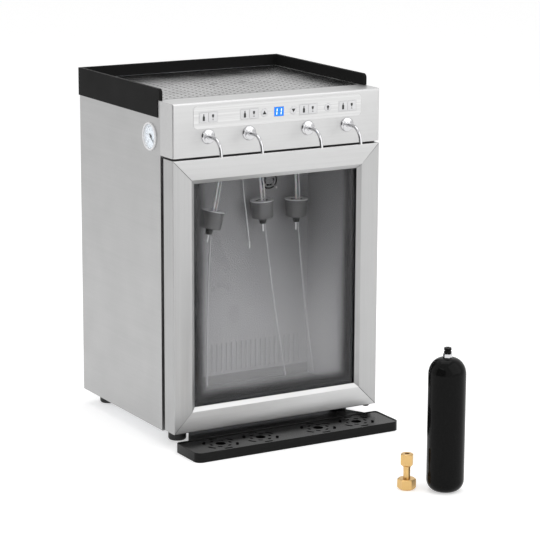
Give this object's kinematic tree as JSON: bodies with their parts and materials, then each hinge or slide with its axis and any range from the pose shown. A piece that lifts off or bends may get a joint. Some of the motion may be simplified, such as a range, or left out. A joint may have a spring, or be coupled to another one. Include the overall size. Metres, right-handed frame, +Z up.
{
  "type": "wine dispenser",
  "caption": "Countertop wine dispenser: cooled glass-door cabinet for bottles, keyed taps, pressure gauge, top shelf grid with guard rail, drip tray, gas cylinder and adaptor.",
  "frame": {"origin": "on the counter, under the middle of the closed door's front face", "axes": "+X to the machine's right-hand side seen from its front, +Y towards its back, +Z up"},
  "size_m": [0.455, 0.8935, 0.684],
  "materials": {
    "aluminium": "anodised",
    "black_steel": "satin black powder coat",
    "brass": "turned brass",
    "cabinet_steel": "brushed stainless steel",
    "chrome": "mirror chrome",
    "circuit_board": "green board",
    "cylinder_black": "gloss black enamel",
    "display_glass": "blue display window",
    "door_glass": "clear double glazing",
    "duct_grey": "stippled grey",
    "fan_plastic": "black",
    "foam": "rigid foam",
    "foot_rubber": "matte black",
    "gauge_face": "pale dial",
    "gauge_lens": "clear",
    "heat_sink": "plain",
    "hose_clear": "translucent white",
    "key_plastic": "silvery key caps",
    "lead_black": "black",
    "liner_plastic": "smooth pale grey",
    "needle_black": "black",
    "overlay_film": "fine striped film",
    "screw_steel": "zinc plated",
    "seal_black": "soft black",
    "stopper_rubber": "matte black",
    "tray_black": "glossy black",
    "valve_brass": "plain brass with black coils",
    "zinc_sheet": "plain zinc-coated sheet"
  },
  "bodies": {
    "cabinet": {"side_panel_left": "cabinet_steel", "side_panel_right": "cabinet_steel", "back_panel": "zinc_sheet", "base_pan": "zinc_sheet", "feet": "foot_rubber", "top_spill_pan": "cabinet_steel", "guard_rail": "black_steel", "head_casing": "cabinet_steel", "control_overlay": "overlay_film", "display_module": "display_glass", "control_board": "circuit_board", "tap_rosettes": "chrome", "tap_spouts": "chrome", "solenoid_valves": "valve_brass", "gas_manifold": "aluminium", "gauge_case": "black_steel", "gauge_dial": "gauge_face", "gauge_lens": "gauge_lens", "liner": "liner_plastic", "insulation": "foam", "duct_plate": "duct_grey", "cooling_module": "heat_sink", "fan_frames": "fan_plastic", "mains_inlet": "fan_plastic", "hinge_brackets": "black_steel", "screws": "screw_steel", "stoppers": "stopper_rubber", "stopper_fittings": "chrome", "dip_tubes": "hose_clear", "wine_hoses": "hose_clear", "gas_hoses": "hose_clear", "probe_lead": "lead_black", "temperature_probe": "screw_steel"},
    "door": {"door_stile_left": "aluminium", "door_stile_right": "aluminium", "door_rail_top": "aluminium", "door_rail_bottom": "aluminium", "door_glass": "door_glass", "door_gasket": "seal_black"},
    "key_bottle_1_cap": {"key_bottle_1": "key_plastic"},
    "key_bottle_2_cap": {"key_bottle_2": "key_plastic"},
    "key_bottle_3_cap": {"key_bottle_3": "key_plastic"},
    "key_bottle_4_cap": {"key_bottle_4": "key_plastic"},
    "key_glass_1_cap": {"key_glass_1": "key_plastic"},
    "key_glass_2_cap": {"key_glass_2": "key_plastic"},
    "key_glass_3_cap": {"key_glass_3": "key_plastic"},
    "key_glass_4_cap": {"key_glass_4": "key_plastic"},
    "key_up_cap": {"key_up": "key_plastic"},
    "key_down_cap": {"key_down": "key_plastic"},
    "key_light_cap": {"key_light": "key_plastic"},
    "needle": {"gauge_needle": "needle_black"},
    "fan_left": {"fan_rotor_left": "fan_plastic"},
    "fan_right": {"fan_rotor_right": "fan_plastic"},
    "fan_rear": {"rear_fan_rotor": "fan_plastic"},
    "top_grid": {"top_grid_plate": "cabinet_steel"},
    "tray": {"drip_tray": "tray_black"},
    "tray_grid": {"drip_grid": "tray_black"},
    "cylinder": {"gas_cylinder": "cylinder_black", "cylinder_valve": "chrome"},
    "adaptor": {"brass_adaptor": "brass"}
  },
  "joints": [
    {"name": "door_hinge", "type": "hinge", "parent": "cabinet", "child": "door", "pos_m": [0.214, 0.019, 0.3], "axis": [0, 0, 1], "range_deg": [0, 110]},
    {"name": "key_bottle_1_press", "type": "slide", "parent": "cabinet", "child": "key_bottle_1_cap", "axis": [0, 1, 0], "range_m": [0, 0.0008], "stiffness_N_per_m": 400},
    {"name": "key_bottle_2_press", "type": "slide", "parent": "cabinet", "child": "key_bottle_2_cap", "axis": [0, 1, 0], "range_m": [0, 0.0008], "stiffness_N_per_m": 400},
    {"name": "key_bottle_3_press", "type": "slide", "parent": "cabinet", "child": "key_bottle_3_cap", "axis": [0, 1, 0], "range_m": [0, 0.0008], "stiffness_N_per_m": 400},
    {"name": "key_bottle_4_press", "type": "slide", "parent": "cabinet", "child": "key_bottle_4_cap", "axis": [0, 1, 0], "range_m": [0, 0.0008], "stiffness_N_per_m": 400},
    {"name": "key_glass_1_press", "type": "slide", "parent": "cabinet", "child": "key_glass_1_cap", "axis": [0, 1, 0], "range_m": [0, 0.0008], "stiffness_N_per_m": 400},
    {"name": "key_glass_2_press", "type": "slide", "parent": "cabinet", "child": "key_glass_2_cap", "axis": [0, 1, 0], "range_m": [0, 0.0008], "stiffness_N_per_m": 400},
    {"name": "key_glass_3_press", "type": "slide", "parent": "cabinet", "child": "key_glass_3_cap", "axis": [0, 1, 0], "range_m": [0, 0.0008], "stiffness_N_per_m": 400},
    {"name": "key_glass_4_press", "type": "slide", "parent": "cabinet", "child": "key_glass_4_cap", "axis": [0, 1, 0], "range_m": [0, 0.0008], "stiffness_N_per_m": 400},
    {"name": "key_up_press", "type": "slide", "parent": "cabinet", "child": "key_up_cap", "axis": [0, 1, 0], "range_m": [0, 0.0008], "stiffness_N_per_m": 400},
    {"name": "key_down_press", "type": "slide", "parent": "cabinet", "child": "key_down_cap", "axis": [0, 1, 0], "range_m": [0, 0.0008], "stiffness_N_per_m": 400},
    {"name": "key_light_press", "type": "slide", "parent": "cabinet", "child": "key_light_cap", "axis": [0, 1, 0], "range_m": [0, 0.0008], "stiffness_N_per_m": 400},
    {"name": "needle_turn", "type": "hinge", "parent": "cabinet", "child": "needle", "pos_m": [-0.222, 0.092, 0.59], "axis": [-1, 0, 0], "range_deg": [0, 270], "stiffness_Nm_per_rad": 0.002},
    {"name": "fan_left_spin", "type": "hinge", "parent": "cabinet", "child": "fan_left", "pos_m": [-0.088, 0.195, 0.464], "axis": [0, 1, 0], "continuous": true},
    {"name": "fan_right_spin", "type": "hinge", "parent": "cabinet", "child": "fan_right", "pos_m": [0.088, 0.195, 0.464], "axis": [0, 1, 0], "continuous": true},
    {"name": "fan_rear_spin", "type": "hinge", "parent": "cabinet", "child": "fan_rear", "pos_m": [0, 0.383, 0.32], "axis": [0, 1, 0], "continuous": true},
    {"name": "top_grid_lift", "type": "slide", "parent": "cabinet", "child": "top_grid", "axis": [0, 0, 1], "range_m": [0, 0.06]},
    {"name": "tray_pull", "type": "slide", "parent": "cabinet", "child": "tray", "axis": [0, -1, 0], "range_m": [0, 0.15]},
    {"name": "tray_grid_lift", "type": "slide", "parent": "tray", "child": "tray_grid", "axis": [0, 0, 1], "range_m": [0, 0.04]},
    {"name": "cylinder_lift", "type": "slide", "parent": "cabinet", "child": "cylinder", "axis": [0, 0, 1], "range_m": [0, 0.3]},
    {"name": "adaptor_lift", "type": "slide", "parent": "cabinet", "child": "adaptor", "axis": [0, 0, 1], "range_m": [0, 0.1]}
  ]
}
